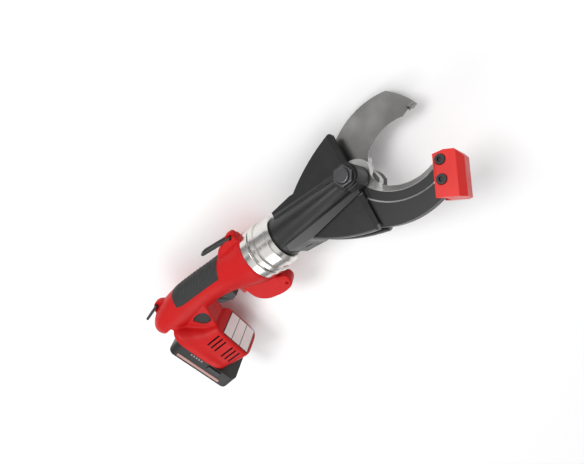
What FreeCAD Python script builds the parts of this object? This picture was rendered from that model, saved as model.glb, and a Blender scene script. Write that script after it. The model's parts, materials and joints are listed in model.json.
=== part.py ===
"""Battery hydraulic cable cutter with a turning scissor head.

Everything is built about the blade pivot: X runs along the tool toward the jaws,
Y toward the top of the grip and Z out of the side that faces up when the tool
lies down.  The head is built flat, with its blades in the XY plane, and is then
turned about the tool axis.  Each piece is written to its own STEP file.
"""
import FreeCAD, Part
import math
import os

from FreeCAD import Vector

os.makedirs("parts", exist_ok=True)

# ------------------------------------------------------------ driving sizes, mm
PIVOT = Vector(134.94, 32.67, 52.94)  # blade pivot, from the middle of the tool's footprint
HEAD_TURN = 40.0                    # how far the head is turned about the tool axis, degrees

BLADE_THICK = 10.0
BLADE_GAP = 0.2                     # from the cutting plane to each blade's flat face
BLADE_TIP_RADIUS = 96.5             # round back of both blades, about the pivot
JAW_HALF_OPENING = 32.0
CLOSING_ANGLE = 36.0                # each blade, open to shut
ROLLER_START = 62.0                 # cross pin behind the pivot with the jaws open
RAM_STROKE = 24.0                   # travel that shuts the jaws
ROLLER_RADIUS = 9.0

SLOT_HALF = 10.5                    # slot in the fork that holds both blades
FIN_HALF = 15.6                     # outside of the fork's side plates
BOSS_RADIUS = 14.5
BOSS_HALF = 33.5
BOLT_RADIUS = 8.0

COLLAR_FLANGE_RADIUS = 34.0
COLLAR_FRONT = -118.0
RIM = -161.0                        # front rim of the plastic housing

WALL = 3.0                          # housing wall
BATTERY_SEAT = Vector(-335.0, -20.5, 0)
BATTERY_TILT = 8.0
BATTERY_LENGTH = 98.0
BATTERY_HALF_WIDTH = 35.0
BATTERY_DEPTH = 27.0

MOTOR_Y = -73.0
PUMP_SHAFT_Y = -53.0
LUMP_FRONT = -279.0                 # front face of the motor housing

X = Vector(1, 0, 0)
Y = Vector(0, 1, 0)
Z = Vector(0, 0, 1)
ORIGIN = Vector(0, 0, 0)


# ------------------------------------------------------------------- helpers
def point(x, y, z=0.0):
    return Vector(x, y, z)


def box(x0, x1, y0, y1, z0, z1):
    return Part.makeBox(x1 - x0, y1 - y0, z1 - z0, point(x0, y0, z0))


def rod_x(x0, x1, radius, y=0.0, z=0.0):
    return Part.makeCylinder(radius, x1 - x0, point(x0, y, z), X)


def rod_z(z0, z1, radius, x=0.0, y=0.0):
    return Part.makeCylinder(radius, z1 - z0, point(x, y, z0), Z)


def tube_x(x0, x1, outer, inner, y=0.0, z=0.0):
    return rod_x(x0, x1, outer, y, z).cut(rod_x(x0 - 1, x1 + 1, inner, y, z))


def turned_profile(points):
    """Solid of revolution about the X axis from (x, radius) corners."""
    corners = [point(x, r) for x, r in points]
    face = Part.Face(Part.makePolygon(corners + [corners[0]]))
    return face.revolve(ORIGIN, X, 360)


def plate(corners, z0, z1):
    """Flat plate with straight edges, from z0 to z1."""
    loop = [point(x, y, z0) for x, y in corners]
    face = Part.Face(Part.makePolygon(loop + [loop[0]]))
    return face.extrude(point(0, 0, z1 - z0))


def plate_from_edges(edges, z0, z1):
    face = Part.Face(Part.Wire(edges))
    face.translate(point(0, 0, z0))
    return face.extrude(point(0, 0, z1 - z0))


def rounded(shape, radius, picks):
    """Fillet the edges for which picks(edge) is true."""
    return shape.makeFillet(radius, [e for e in shape.Edges if picks(e)])


def runs_along(axis):
    def test(edge):
        ends = edge.Vertexes
        if len(ends) < 2:
            return False
        run = ends[1].Point.sub(ends[0].Point)
        return run.Length > 0 and run.cross(axis).Length < 1e-6
    return test


def group(shapes):
    return Part.makeCompound(shapes)


def fused(shapes):
    result = shapes[0]
    for other in shapes[1:]:
        result = result.fuse(other)
    return result.removeSplitter()


def coil(x0, x1, radius, wire, turns):
    """Coil spring along X."""
    helix = Part.makeHelix((x1 - x0) / turns, x1 - x0, radius)
    start = Part.Wire(Part.makeCircle(wire, point(radius, 0, 0), point(0, 1, 0)))
    spring = Part.Wire(helix.Edges).makePipeShell([start], True, True)
    spring.rotate(ORIGIN, Y, 90)
    spring.translate(point(x0, 0, 0))
    return spring


def hexagon(across_flats, z0, z1, x=0.0, y=0.0):
    corner = across_flats / math.sqrt(3)
    corners = []
    for k in range(6):
        a = math.radians(60 * k)
        corners.append((x + corner * math.cos(a), y + corner * math.sin(a)))
    return plate(corners, z0, z1)


def gear(teeth, module, x0, x1, y, turn=0.0):
    """Spur gear about an axis along X, with slim straight-flanked teeth."""
    pitch = teeth * module / 2
    levels = ((pitch - 1.15 * module, 0.33), (pitch, 0.21), (pitch + 0.8 * module, 0.10))
    outline = []
    for k in range(teeth):
        middle = turn + 360.0 * k / teeth
        flank = [(r, -w) for r, w in levels] + [(r, w) for r, w in reversed(levels)]
        for r, w in flank:
            a = math.radians(middle + w * 360.0 / teeth)
            outline.append(point(x0, y + r * math.cos(a), r * math.sin(a)))
    face = Part.Face(Part.makePolygon(outline + [outline[0]]))
    return face.extrude(point(x1 - x0, 0, 0))


def save(name, shape):
    shape.translate(PIVOT)
    shape.exportStep("parts/" + name + ".step")


def save_head(name, shape):
    """Turn a head piece about the tool axis and write it."""
    shape.rotate(ORIGIN, X, -HEAD_TURN)
    save(name, shape)


def save_battery(name, shape):
    """Battery pieces are built square at their seat, then tilted onto it."""
    save(name, on_seat(shape))


def on_seat(shape):
    shape.rotate(ORIGIN, Z, BATTERY_TILT)
    shape.translate(BATTERY_SEAT)
    return shape


# ------------------------------------------------------------------ the fork
def fin_outline():
    """One closed loop around both side fins, with curved outer edges."""
    back, wide, front = -76.0, 60.0, 1.0
    top = Part.Arc(point(back, 28), point(-38, 49), point(-5, wide)).toShape()
    corner = Part.Arc(point(-5, wide), point(-0.6, 59.5), point(front, 55)).toShape()
    face = Part.makeLine(point(front, 55), point(front, -55))
    low_corner = Part.Arc(point(front, -55), point(-0.6, -59.5), point(-5, -wide)).toShape()
    bottom = Part.Arc(point(-5, -wide), point(-38, -49), point(back, -28)).toShape()
    rear = Part.makeLine(point(back, -28), point(back, 28))
    return [top, corner, face, low_corner, bottom, rear]


def ellipse_wire(x, y, half_y, half_z):
    """Ellipse across the X axis, with its seam on the +Y side."""
    major, minor = max(half_y, half_z), min(half_y, half_z)
    curve = Part.Ellipse(ORIGIN, major, minor)
    wire = Part.Wire(curve.toShape())
    if half_z > half_y:
        wire.rotate(ORIGIN, Z, 90)
    wire.rotate(ORIGIN, Y, 90)
    wire.rotate(ORIGIN, X, 90)
    wire.translate(point(x, y, 0))
    return wire


def cutter_fork():
    ridge_wires = [ellipse_wire(-112, 0, 25.0, 25.6),
                   ellipse_wire(-60, 0, 20.0, 28.0),
                   ellipse_wire(-2, 0, 14.2, 30.5)]
    ridge = Part.makeLoft(ridge_wires, True, True)
    fins = plate_from_edges(fin_outline(), -FIN_HALF, FIN_HALF)
    rib_corners = [(-108, 25.5), (-78, 28.5), (-70, 28), (0, 17.5)]
    rib_corners += [(x, -y) for x, y in reversed(rib_corners)]
    ribs = plate(rib_corners, -19.0, 19.0)
    boss = rod_z(-BOSS_HALF, BOSS_HALF, BOSS_RADIUS)
    neck = turned_profile([(-119.5, 0), (-119.5, 24.4), (-118, 25.5), (-109, 25.5), (-109, 0)])
    shank = rod_x(-160, -119, 22.0)
    fork = fused([ridge, fins, ribs, boss, neck, shank])
    fork = fork.cut(box(-73, 40, -80, 80, -SLOT_HALF, SLOT_HALF))      # blade slot
    fork = fork.cut(rod_z(-40, 40, BOLT_RADIUS + 0.05))                # pivot bore
    fork = fork.cut(rod_x(-161, -104, 17.0))                           # spring bore
    fork = fork.cut(rod_x(-105, -80, 9.4))                             # stem bore
    fork = fork.cut(box(-93, -27, -11.6, 11.6, -18.6, 18.6))           # yoke cavity
    fork = fork.cut(tube_x(-142.4, -137.6, 23, 20.6))                  # groove for the locking balls
    fork = fork.cut(box(-97, -87, -40, -20, -1.6, 1.6).cut(box(-99, -85, -22, -10, -5, 5)))
    return fork


# --------------------------------------------------------------- the blades
def blade_outline():
    """Upper blade seen from the +Z side, jaw to the right and tail to the left."""
    tip_back = point(BLADE_TIP_RADIUS * math.cos(math.radians(22)),
                     BLADE_TIP_RADIUS * math.sin(math.radians(22)))
    tip_corner = point(BLADE_TIP_RADIUS * math.cos(math.radians(43)),
                       BLADE_TIP_RADIUS * math.sin(math.radians(43)))
    tip_middle = point(BLADE_TIP_RADIUS * math.cos(math.radians(33)),
                       BLADE_TIP_RADIUS * math.sin(math.radians(33)))
    inner_tip = point(72, JAW_HALF_OPENING - 1.5)
    inner_root = point(23, 22)
    hub_front = point(15.5, 4.0)
    edges = [Part.Arc(tip_back, tip_middle, tip_corner).toShape()]
    edges.append(Part.Arc(tip_corner, point(37, 70.0), point(-8, 54)).toShape())
    edges.append(Part.makeLine(point(-8, 54), point(-26, 42)))
    edges.append(Part.makeLine(point(-26, 42), point(-30, 23)))
    edges.append(Part.makeLine(point(-30, 23), point(-52, 19)))
    edges.append(Part.makeLine(point(-52, 19), point(-57.5, 12)))
    cam = cam_points()
    edges.append(Part.makeLine(point(-57.5, 12), cam[0]))
    curve = Part.BSplineCurve()
    curve.interpolate(cam)
    edges.append(curve.toShape())
    edges.append(Part.makeLine(cam[-1], point(-16, -15.5)))
    edges.append(Part.Arc(point(-16, -15.5), point(3, -22), point(19, -10)).toShape())
    edges.append(Part.Arc(point(19, -10), point(17.5, -2), hub_front).toShape())
    edges.append(Part.Arc(hub_front, point(17.6, 14.5), inner_root).toShape())
    edges.append(Part.Arc(inner_root, point(48, JAW_HALF_OPENING + 0.6), inner_tip).toShape())
    edges.append(Part.makeLine(inner_tip, tip_back))
    return edges


def cam_points():
    """Face that the roller pushes: a spiral, so that the blade turns evenly
    with the ram.  The roller centre runs along the spiral in the blade's frame."""
    clearance = ROLLER_RADIUS + 0.35
    rate = RAM_STROKE / math.radians(CLOSING_ANGLE)
    found = []
    for k in range(8):
        a = math.radians(CLOSING_ANGLE) * (k / 7.0) * 1.06 - math.radians(1.0)
        away = ROLLER_START - rate * a
        centre = (-away * math.cos(a), -away * math.sin(a))
        run = (rate * math.cos(a) + away * math.sin(a),
               rate * math.sin(a) - away * math.cos(a))
        size = math.hypot(run[0], run[1])
        normal = (-run[1] / size, run[0] / size)
        found.append(point(centre[0] + clearance * normal[0],
                           centre[1] + clearance * normal[1]))
    return found


def inner_circle():
    """Radius and centre of the circle that the jaw's inner edge follows."""
    arc = Part.Arc(point(14, 12), point(48, JAW_HALF_OPENING + 0.6), point(74, 30.0)).toShape()
    return arc.Curve.Radius, arc.Curve.Center


def bevel_cutter(edge_z, back_z):
    """Ring-shaped wedge that grinds the jaw's inner edge to a cutting edge."""
    rise = back_z - edge_z
    radius, centre = inner_circle()
    cone_low, cone_high = radius, radius + 8.0
    if rise > 0:
        cone = Part.makeCone(cone_low, cone_high, rise, centre + point(0, 0, edge_z), Z)
    else:
        cone = Part.makeCone(cone_low, cone_high, -rise, centre + point(0, 0, edge_z), -Z)
    keep = box(19, 110, -60, 80, -20, 20)
    return cone.common(keep)


def upper_blade():
    blade = plate_from_edges(blade_outline(), -BLADE_GAP - BLADE_THICK, -BLADE_GAP)
    blade = blade.cut(rod_z(-20, 20, BOLT_RADIUS + 0.05))
    blade = blade.cut(bevel_cutter(-BLADE_GAP - 0.8, -BLADE_GAP - BLADE_THICK - 0.05))
    step = box(80.5, 95, 20, 36.5, -6, 0.5)
    return blade.cut(step)


def lower_blade():
    blade = plate_from_edges(blade_outline(), -BLADE_GAP - BLADE_THICK, -BLADE_GAP)
    blade = blade.cut(rod_z(-20, 20, BOLT_RADIUS + 0.05))
    blade = blade.cut(bevel_cutter(-BLADE_GAP - 0.8, -BLADE_GAP - BLADE_THICK - 0.05))
    blade = blade.cut(land_step())
    blade.rotate(ORIGIN, X, 180)
    for along in GUIDE_SCREWS:
        hole = guide_point(GUIDE_SCREW_IN, along)
        blade = blade.cut(rod_z(-5, 15, 2.5, hole.x, hole.y))
    return blade


def land_step():
    """Shallow ground land beside the bevel, on the blade's back face."""
    radius, centre = inner_circle()
    back = -BLADE_GAP - BLADE_THICK
    land = Part.makeCone(radius + 18.7, radius + 17.5, 1.2, centre + point(0, 0, back - 0.1), Z)
    return land.common(box(4, 67, -60, 80, -20, 20))


# ------------------------------------------------------------ the guide block
GUIDE_CORNER = point(63.3, -65.6)
GUIDE_ALONG = point(0.42, 0.9075)
GUIDE_OUT = point(0.9075, -0.42)
GUIDE_SCREWS = (17.0, 36.0)
GUIDE_SCREW_IN = 7.0


def guide_point(out, along):
    return GUIDE_CORNER + GUIDE_OUT * out + GUIDE_ALONG * along


def guide_block():
    corners = [(0, 0), (0, 42.4), (11, 45), (21, 44), (27.4, 37.5), (27.4, -1.5)]
    outline = [guide_point(a, b) for a, b in corners]
    block = plate([(p.x, p.y) for p in outline], -16.5, 16.5)
    swing = rod_z(-BLADE_THICK - BLADE_GAP - 0.35, BLADE_THICK + BLADE_GAP,
                  BLADE_TIP_RADIUS + 0.8)
    block = block.cut(swing)
    for side in (1, -1):
        chamfer = [(22.0, 16.6 * side), (28.5, 16.6 * side), (28.5, 6.0 * side)]
        loop = [guide_point(a, -6) + point(0, 0, z) for a, z in chamfer]
        wedge = Part.Face(Part.makePolygon(loop + [loop[0]])).extrude(GUIDE_ALONG * 60)
        block = block.cut(wedge)
    for along in GUIDE_SCREWS:
        hole = guide_point(GUIDE_SCREW_IN, along)
        block = block.cut(rod_z(0, 20, 3.2, hole.x, hole.y))
        block = block.cut(rod_z(12.4, 20, 5.3, hole.x, hole.y))
    return block


def guide_screws():
    screws = []
    for along in GUIDE_SCREWS:
        hole = guide_point(GUIDE_SCREW_IN, along)
        body = rod_z(1.0, 12.5, 2.45, hole.x, hole.y)
        head = rod_z(12.5, 17.6, 5.0, hole.x, hole.y)
        socket = hexagon(5.0, 14.6, 18.0, hole.x, hole.y)
        screws.append(body.fuse(head).cut(socket))
    return group(screws)


# ------------------------------------------------------------ pivot and drive
def pivot_bolt():
    bolt = rod_z(-35.2, 43.0, BOLT_RADIUS).fuse(hexagon(22, -42.5, -35.2))
    return rounded(bolt, 1.2, lambda e: len(e.Vertexes) == 1 and e.CenterOfMass.z > 42)


def pivot_nut():
    nut = hexagon(20.5, 36.1, 40.8)
    return nut.cut(rod_z(30, 45, BOLT_RADIUS + 0.01))


def pivot_washers():
    rings = []
    for z0, z1 in ((BOSS_HALF, 36.1), (-35.2, -BOSS_HALF)):
        ring = rod_z(z0, z1, 12.6).cut(rod_z(-50, 50, BOLT_RADIUS + 0.1))
        rings.append(ring)
    return group(rings)


def push_yoke():
    stem = rod_x(-146, -90, 9.0)
    foot = rod_x(-150, -146, 16.5)
    body = rounded(box(-90, -54, -11, 11, -18, 18), 2.5, runs_along(X))
    yoke = fused([stem, foot, body])
    yoke = yoke.cut(box(-74, -50, -20, 20, -SLOT_HALF, SLOT_HALF))
    return yoke.cut(rod_z(-30, 30, 5.0, -ROLLER_START))


def cross_pin():
    return rod_z(-17.6, 17.6, 5.0, -ROLLER_START)


def cam_roller(side):
    z0, z1 = (0.4, 10.0) if side > 0 else (-10.0, -0.4)
    roller = rod_z(z0, z1, ROLLER_RADIUS, -ROLLER_START)
    return roller.cut(rod_z(-20, 20, 5.06, -ROLLER_START))


# ---------------------------------------------------- collar and hydraulics
def coupling_socket():
    outline = [(-164, 20.5), (-164, 29.8), (-160.8, 29.8), (-160.8, 32.6), (-151.0, 32.8),
               (-150.0, 31.8), (-150.0, 27.0), (-123.4, 27.0), (-123.4, 25.8),
               (-120.5, 25.8), (-120.5, 22.35),
               (-160.3, 22.35), (-160.3, 20.5)]
    socket = turned_profile(outline)
    for k in range(6):
        a = 60 * k
        hole = Part.makeCylinder(2.8, 12, point(-140, 0, 18), Z)
        hole.rotate(ORIGIN, X, a)
        socket = socket.cut(hole)
    return socket


def locking_balls():
    balls = []
    for k in range(6):
        ball = Part.makeSphere(2.6, point(-140, 0, 24.2))
        ball.rotate(ORIGIN, X, 60 * k)
        balls.append(ball)
    return group(balls)


def release_collar():
    outline = [(-146.0, 27.3), (-146.0, 33.4), (-145.4, COLLAR_FLANGE_RADIUS),
               (-140.6, COLLAR_FLANGE_RADIUS), (-139.4, 32.9), (-139.4, 31.4),
               (-123.6, 31.4), (-123.0, 30.8), (COLLAR_FRONT, 27.6), (COLLAR_FRONT, 26.2),
               (-119.9, 26.2), (-119.9, 27.3)]
    collar = turned_profile(outline)
    dimple = Part.makeCylinder(1.3, 3, point(-129, 0, 30.0), Z)
    dimple.rotate(ORIGIN, X, 68)
    return collar.cut(dimple)


def hydraulic_cylinder():
    cylinder = tube_x(-206, -166, 19.6, 15.5)
    rear_wall = rod_x(-206, -202, 16.0)
    front_wall = tube_x(-170, -166, 16.0, 10.08)
    port = rod_x(-207, -201, 1.6, 0, -11)
    return fused([cylinder, rear_wall, front_wall]).cut(port)


def ram():
    piston = rod_x(-201.6, -194.6, 15.42).cut(tube_x(-199.4, -196.8, 18, 13.8))
    return piston.fuse(rod_x(-195, -150.4, 10.0))


def ram_seal():
    return tube_x(-199.3, -196.9, 15.3, 13.85)


# ------------------------------------------------------------------ housing
HANDLE_SECTIONS = (
    # x, centre height, half height, half width
    (-163, 0.0, 33.0, 33.0),
    (-180, 0.5, 31.6, 30.6),
    (-202, 3.2, 27.6, 25.2),
    (-226, 6.4, 24.6, 21.6),
    (-256, 8.2, 23.8, 20.6),
    (-290, 6.4, 25.6, 22.0),
    (-320, 4.0, 25.5, 24.5),
    (-346, 2.0, 21.0, 23.5),
    (-366, 0.5, 13.5, 16.0),
)


def handle_form(grow):
    wires = []
    for x, y, half_y, half_z in HANDLE_SECTIONS:
        wires.append(ellipse_wire(x, y, half_y + grow, half_z + grow))
    form = Part.makeLoft(wires, True, False)
    if grow < -2:
        form = form.common(box(-362, 0, -100, 100, -100, 100))
    nose = rod_x(-163, RIM, 33.0 + grow)
    return form.fuse(nose)


def rounded_loop(x, y0, y1, half_z, radius):
    """Rounded rectangle across the X axis."""
    k = radius * (1 - math.sqrt(0.5))
    rim = []
    for y, z, dy, dz in ((y1, half_z, -1, -1), (y1, -half_z, -1, 1),
                         (y0, -half_z, 1, 1), (y0, half_z, 1, -1)):
        on_side = point(x, y + dy * radius, z)
        on_end = point(x, y, z + dz * radius)
        middle = point(x, y + dy * k, z + dz * k)
        first, last = (on_side, on_end) if dy == dz else (on_end, on_side)
        rim.append((first, middle, last))
    edges = []
    for k in range(4):
        first, middle, last = rim[k]
        edges.append(Part.Arc(first, middle, last).toShape())
        edges.append(Part.makeLine(last, rim[(k + 1) % 4][0]))
    return Part.Wire(edges)


def lump_form(grow):
    """Motor housing that widens into the foot that the battery slides onto."""
    foot = on_seat(rounded_loop(-1, -79 - grow, 13 + grow, 36.5 + grow, 19 + grow))
    waist = on_seat(rounded_loop(9, -80 - grow, 11 + grow, 35.5 + grow, 19 + grow))
    shoulder = rounded_loop(LUMP_FRONT - 3 + grow, -103 - grow, -37 + grow, 26.0 + grow, 12 + grow)
    front = rounded_loop(LUMP_FRONT + grow, -100.5 - grow, -39.5 + grow, 23.5 + grow, 9.5 + grow)
    form = Part.makeLoft([foot, waist], True, True)
    form = form.fuse(Part.makeLoft([waist, shoulder], True, True))
    form = form.fuse(Part.makeLoft([shoulder, front], True, True))
    return form.common(on_seat(box(0.6 - grow, 200, -200, 200, -100, 100)))


def web_form(grow):
    corners = [(-330, 8), (-330, -18), (-326, -50), (-284 + grow, -48), (-279 + grow, -34),
               (-282 + grow, -22), (-274 + grow, -8), (-290, 5)]
    return plate(corners, -17 - grow, 17 + grow)


def lugs():
    lower = [(-206, -15), (-209, -43), (-196, -54), (-171, -58.5), (-156, -56), (-149.5, -48),
             (-151, -39.5), (-163, -35.6), (-168, -26)]
    upper = [(-210, 22), (-198, 38), (-178, 42), (-164, 40.5), (-161.2, 34.4), (-176, 26)]
    rear = [(-356, 10), (-350, 26), (-340, 33.5), (-330, 32.5), (-320, 26), (-324, 16)]
    solids = [rounded(plate(lower, -9, 9), 3.0, lambda e: not runs_along(Z)(e)),
              rounded(plate(upper, -8, 8), 2.0, lambda e: not runs_along(Z)(e)),
              plate(rear, -3.2, 3.2)]
    eye = rounded(box(-177, -163, 34, 46, -3.2, 3.2), 5.5, runs_along(Z))
    return fused(solids + [eye])


FRONT_EYE = point(-170, 40.2)
REAR_EYE = point(-340, 28.5)
LOWER_EYE = point(-158, -48.5)


def grip_region(extra):
    """Space on top of the handle that the rubber covers."""
    corners = [(-300 - extra, 60), (-300 - extra, 15 - extra), (-280, 12 - extra),
               (-216 + extra, 12 - extra), (-204 + extra, 34), (-198 + extra, 60)]
    return plate(corners, -60, 60)


def throat_pads(extra):
    """Teardrop rubber patches on both sides of the web, where the fingers close."""
    corners = [(-305, -19), (-297, -15), (-290, -13), (-284.4, -14.5), (-284.4, -30), (-296, -29.5),
               (-303, -25)]
    far = plate(corners, -17 - extra, -15.6)
    return [plate(corners, 15.6, 17 + extra), far]


def body_form(grow):
    return fused([handle_form(grow), lump_form(grow), web_form(grow)])


def housing():
    """Hollow housing before it is split into its two halves."""
    shell = body_form(0.0).fuse(lugs())
    shell = shell.cut(body_form(-WALL).common(box(-400, -165, -200, 200, -100, 100)))
    shell = shell.cut(rod_x(-165.5, -150, 30.1))
    shell = shell.cut(rod_x(-175, -164, 20.0))
    band = handle_form(3.0).cut(handle_form(-1.6))
    shell = shell.cut(band.common(grip_region(0.0)))
    for eye, radius in ((FRONT_EYE, 2.8), (REAR_EYE, 2.8), (LOWER_EYE, 2.4)):
        shell = shell.cut(rod_z(-30, 30, radius, eye.x, eye.y))
    for side in (-1, 1):
        shell = shell.cut(box(-190, -160, 36.8, 50, side * 7.6 - 4.2, side * 7.6 + 4.2))
    shell = shell.cut(trigger_space())
    shell = shell.cut(rod_z(-9.7, 9.7, 1.55, -256.5, -10))
    for patch in throat_pads(10.0):
        shell = shell.cut(patch)
    shell = shell.cut(on_seat(box(-45, 0.3, -200, 0.5, -60, 60)))          # battery's place
    shell = shell.cut(on_seat(box(-3, 5.2, -130, -14, -17.6, 17.6)))       # rail channel
    for first in (-51.0, -76.0):
        for k in range(3):
            middle = first - 6.4 * k
            shell = shell.cut(box(-306, -284, middle - 1.1, middle + 1.1, -50, 50))
    return shell


def trigger_space():
    slot = box(-262, -226, -30, -8, -6.5, 6.5)
    button = box(-219, -209, -32, -8, -5.5, 5.5)
    return slot.fuse(button)


def half(shell, side):
    if side > 0:
        part = shell.common(box(-500, 0, -200, 200, 0.05, 100))
    else:
        part = shell.common(box(-500, 0, -200, 200, -100, -0.05))
    inside = body_form(-0.5)
    for x, y, depth in SCREW_PLACES:
        boss = rod_z(0.05, 60, 3.6, x, y) if side > 0 else rod_z(-60, -0.05, 3.6, x, y)
        part = part.fuse(boss.common(inside))
        part = part.cut(rod_z(-60, 8.2, 1.7, x, y))
        part = part.cut(rod_z(-60, -depth, 3.4, x, y))
    solids = sorted(part.Solids, key=lambda s: s.Volume)
    return solids[-1]


# x, y and the depth of the head's seat below the parting plane
SCREW_PLACES = ((-196, 32, 5.0), (-192, -44, 5.0), (-314, -27, 10.0),
                (-350, 4, 12.0), (-289, -93, 20.0))


def housing_screws():
    screws = []
    for x, y, depth in SCREW_PLACES:
        shaft = rod_z(-depth, 8.0, 1.65, x, y)
        head = rod_z(-depth - 2.4, -depth, 3.2, x, y)
        screws.append(shaft.fuse(head).cut(hexagon(2.6, -depth - 3, -depth - 1.2, x, y)))
    return group(screws)


def grip_cover():
    band = handle_form(0.6).cut(handle_form(-1.5))
    cover = band.common(grip_region(-0.1))
    return sorted(cover.Solids, key=lambda s: s.Volume)[-1]


# ------------------------------------------------------- trigger and controls
def trigger():
    corners = [(-259, -7), (-259, -17), (-256, -22.5), (-238, -27), (-229, -25),
               (-228, -12), (-231, -9.6), (-252, -7)]
    lever = plate(corners, -5.9, 5.9)
    lever = lever.cut(rod_z(-10, 10, 1.55, -256.5, -10))
    return lever


def trigger_pin():
    return rod_z(-9.5, 9.5, 1.5, -256.5, -10)


def trigger_switch():
    return box(-252, -224, -6.2, 6, -8, 8)


def release_button():
    return rounded(box(-218.6, -209.4, -29.0, -14, -5.1, 5.1), 1.2, runs_along(Y))


def release_valve():
    return box(-221, -208, -11.4, 3, -9, 9).cut(rod_x(-230, -200, 1.5, -4, 0))


# --------------------------------------------------------- motor and pump
def motor_can():
    can = tube_x(-316.5, -301, 20.0, 18.4, MOTOR_Y)
    end = tube_x(-318.5, -316.5, 20.0, 3.2, MOTOR_Y)
    front = tube_x(-301, -299.5, 20.0, 4.2, MOTOR_Y)
    return fused([can, end, front])


def motor_rotor():
    core = rod_x(-315.5, -305.8, 16.5, MOTOR_Y)
    shaft = rod_x(-319.2, -299.2, 2.4, MOTOR_Y).fuse(rod_x(-299.2, -293.6, 1.88, MOTOR_Y))
    rotor = core.fuse(shaft)
    for k in range(12):
        a = math.radians(30 * k)
        notch = rod_x(-316, -305, 1.4, MOTOR_Y + 16.2 * math.cos(a), 16.2 * math.sin(a))
        rotor = rotor.cut(notch)
    return rotor


def motor_fan():
    hub = tube_x(-305.4, -301.6, 6.0, 2.42, MOTOR_Y)
    fan = hub
    for k in range(8):
        blade = box(-305.1, -301.9, 5.0, 18.0, -0.7, 0.7)
        blade.rotate(ORIGIN, X, 45 * k)
        blade.translate(point(0, MOTOR_Y, 0))
        fan = fan.fuse(blade)
    return fan


def motor_pinion():
    return gear(10, 1.0, -299.0, -293.6, MOTOR_Y, 18.0).cut(rod_x(-300, -290, 1.9, MOTOR_Y))


def pump_gear():
    return gear(30, 1.0, -298.7, -293.9, PUMP_SHAFT_Y, 0.0).cut(rod_x(-300, -290, 4.0, PUMP_SHAFT_Y))


def eccentric_shaft():
    shaft = rod_x(-299.2, -284.8, 4.0, PUMP_SHAFT_Y)
    return shaft.fuse(rod_x(-291.0, -286.6, 6.0, PUMP_SHAFT_Y + 1.0))


def pump_block():
    block = box(-292.8, -284.4, -45.6, -41.0, -12, 12)
    cheeks = box(-292.8, -291.4, -62, -42, -12, 12).fuse(box(-286.2, -284.4, -62, -42, -12, 12))
    block = fused([block, cheeks])
    block = block.cut(rod_x(-295, -280, 4.08, PUMP_SHAFT_Y))
    return block.cut(Part.makeCylinder(2.26, 20, point(-288.8, -50, 0), Y))


def pump_plunger():
    return Part.makeCylinder(2.2, 4.4, point(-288.8, -45.8, 0), Y)


def pressure_pipe():
    route = [point(-289, -40.9, -9), point(-289, -37.5, -9), point(-303, -22, -10.5),
             point(-303, 1, -12.5), point(-226, 1, -12.5), point(-212, 0, -11),
             point(-206.1, 0, -11)]
    pieces = []
    for a, b in zip(route, route[1:]):
        run = b.sub(a)
        pieces.append(Part.makeCylinder(1.5, run.Length, a, run))
        pieces.append(Part.makeSphere(1.5, b))
    return fused(pieces[:-1])


def oil_reservoir():
    bag = box(-288, -212, 9.5, 24, -10.5, 10.5)
    return rounded(bag, 6.0, runs_along(X))


def control_board():
    board = box(-343, -316, -6, 12, -16.6, -15.0)
    chips = [box(-341, -333, -4, 4, -15.0, -13.6), box(-330, -322, -5, 0, -15.0, -12.4),
             box(-328, -320, 3, 9, -15.0, -11.0)]
    return fused([board] + chips)


def label_panels():
    """Three blank rating plates across the front of the motor housing."""
    plates = []
    for k in range(3):
        top = -53.0 - 14.6 * k
        plates.append(box(LUMP_FRONT, LUMP_FRONT + 0.4, top - 13.6, top, -20.5, 20.5))
    return group(plates)


# ------------------------------------------------------------------ battery
def battery_case(x0, x1):
    form = box(-BATTERY_DEPTH, 0, -BATTERY_LENGTH, 0, -BATTERY_HALF_WIDTH, BATTERY_HALF_WIDTH)
    form = rounded(form, 9.0, runs_along(X))
    low = [e for e in form.Edges if e.BoundBox.XMax < -BATTERY_DEPTH + 0.01]
    form = form.makeFillet(3.0, low)
    inner = box(-BATTERY_DEPTH + 2.2, -2.2, -BATTERY_LENGTH + 2.2, -2.2,
                -BATTERY_HALF_WIDTH + 1.6, BATTERY_HALF_WIDTH - 1.6)
    inner = rounded(inner, 5.0, runs_along(X))
    form = form.cut(inner)
    for side in (-1, 1):
        window = box(-10.6, -2.4, -76.6, -55.4, 30, 40)
        if side < 0:
            window = box(-10.6, -2.4, -76.6, -55.4, -40, -30)
        form = form.cut(window)
    return form.common(box(x0, x1, -200, 50, -100, 100))


def battery_cells():
    cells = []
    for k in range(5):
        cells.append(rod_z(-30, 30, 8.8, -13.4, -12.4 - 18.3 * k))
    return group(cells)


def battery_rails():
    block = box(0.0, 4.6, -66, -18, -12, 12)
    left = box(0.0, 3.0, -66, -18, 12, 17)
    right = box(0.0, 3.0, -66, -18, -17, -12)
    return fused([block, left, right])


def battery_latch(side):
    latch = rounded(box(-10.0, -3.0, -76, -56, 0, 2.6), 1.5, runs_along(Z))
    latch.translate(point(0, 0, BATTERY_HALF_WIDTH - 0.8))
    if side < 0:
        latch.rotate(ORIGIN, X, 180)
        latch.translate(point(0, -132, 0))
    return latch


def gauge_panel():
    return box(-6.6, -0.8, -47, -26, BATTERY_HALF_WIDTH, BATTERY_HALF_WIDTH + 0.5)


def battery_label():
    return box(-21.5, -16.8, -82, -12, BATTERY_HALF_WIDTH, BATTERY_HALF_WIDTH + 0.3)


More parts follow.
